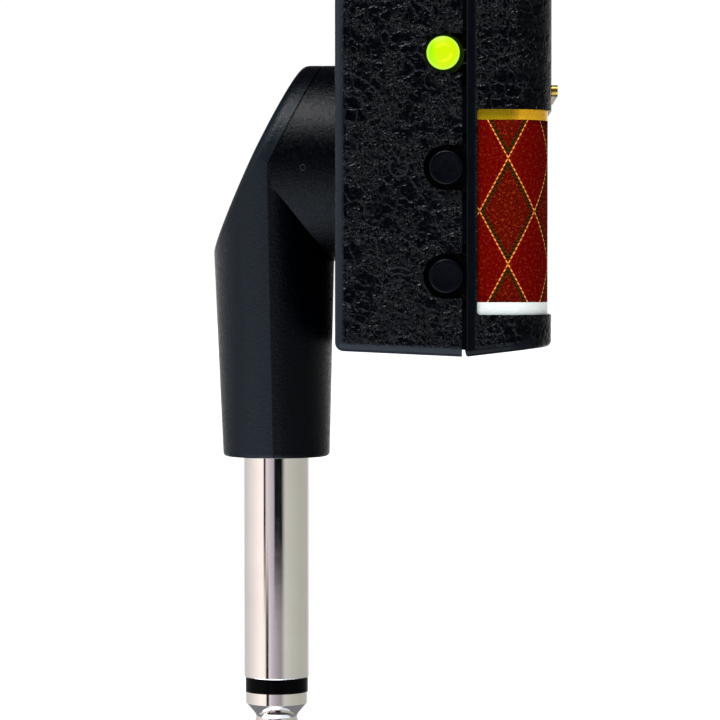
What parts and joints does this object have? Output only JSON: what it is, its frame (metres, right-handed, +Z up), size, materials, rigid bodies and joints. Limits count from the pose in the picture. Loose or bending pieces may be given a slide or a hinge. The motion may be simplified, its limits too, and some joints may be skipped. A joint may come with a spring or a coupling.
{
  "type": "wireless guitar transmitter",
  "caption": "Plug-in wireless guitar transmitter: a grained black box with a chequered cloth band, lamp and push buttons, swivelling on an arm with a 6.35 mm plug.",
  "frame": {"origin": "on the plug's axis, at the shoulder where the sleeve leaves the arm", "axes": "+Z up the plug's axis away from the tip, +X towards the decorated front, -Y towards the side with the buttons"},
  "size_m": [0.0322, 0.0525, 0.086],
  "materials": {
    "shell_plastic": "pebble grained",
    "arm_plastic": "fine spark-eroded",
    "button_plastic": "matte",
    "nickel_plate": "polished",
    "plug_insulator": "gloss",
    "fibre_washer": "matte",
    "brass_lug": "satin",
    "spindle_steel": "turned",
    "spring_steel": "satin",
    "bush_plastic": "satin",
    "screw_steel": "black zinc",
    "grille_cloth": "woven argyle",
    "gold_trim": "metallic",
    "white_trim": "satin",
    "badge_gold": "polished",
    "badge_black": "gloss",
    "led_lens": "diffused",
    "tinned_wire": "bright",
    "circuit_board": "solder mask",
    "chip_plastic": "matte",
    "crystal_can": "satin",
    "ceramic_part": "matte",
    "shield_can": "satin",
    "switch_plastic": "matte",
    "usb_steel": "satin",
    "cell_foil": "foil",
    "foam": "open cell",
    "connector_nylon": "satin",
    "wire_red": "satin",
    "wire_black": "satin"
  },
  "bodies": {
    "plug_arm": {"plug_sleeve": "nickel_plate", "plug_tip": "nickel_plate", "plug_insulator": "plug_insulator", "plug_rear_washer": "fibre_washer", "tip_solder_lug": "brass_lug", "ground_solder_lug": "brass_lug", "arm_outer_cover": "arm_plastic", "arm_inner_housing": "arm_plastic", "arm_screws": "screw_steel", "swivel_spindle": "spindle_steel", "swivel_spring_washer": "spring_steel", "swivel_retaining_clip": "spring_steel", "swivel_glide_ring": "bush_plastic", "signal_lead_arm": "wire_black"},
    "housing": {"swivel_bush": "bush_plastic", "rear_shell": "shell_plastic", "front_shell": "shell_plastic", "grille_cloth_panel": "grille_cloth", "gold_trim_strip": "gold_trim", "white_trim_strip": "white_trim", "badge_plate": "badge_gold", "badge_inlay": "badge_black", "case_screws": "screw_steel", "board_screws": "screw_steel", "main_board": "circuit_board", "processor_chip": "chip_plastic", "audio_converter_chip": "chip_plastic", "charger_chip": "chip_plastic", "clock_crystal": "crystal_can", "radio_shield_can": "shield_can", "chip_antenna": "ceramic_part", "board_passives": "ceramic_part", "usb_port_shell": "usb_steel", "usb_port_tongue": "switch_plastic", "status_led": "led_lens", "led_leads": "tinned_wire", "power_switch_body": "switch_plastic", "link_switch_body": "switch_plastic", "battery_cell": "cell_foil", "battery_foam_pads": "foam", "battery_header": "connector_nylon", "battery_connector": "connector_nylon", "battery_lead_red": "wire_red", "battery_lead_black": "wire_black", "signal_lead_housing": "wire_black"},
    "power_key": {"power_button": "button_plastic", "power_switch_plunger": "switch_plastic"},
    "link_key": {"link_button": "button_plastic", "link_switch_plunger": "switch_plastic"}
  },
  "joints": [
    {"name": "housing_swivel", "type": "hinge", "parent": "plug_arm", "child": "housing", "pos_m": [0.0065, 0, 0.0281], "axis": [1, 0, 0], "range_deg": [-90, 90]},
    {"name": "power_button_press", "type": "slide", "parent": "housing", "child": "power_key", "axis": [0, 1, 0], "range_m": [0, 0.00035], "stiffness_N_per_m": 500},
    {"name": "link_button_press", "type": "slide", "parent": "housing", "child": "link_key", "axis": [0, 1, 0], "range_m": [0, 0.00035], "stiffness_N_per_m": 500}
  ]
}
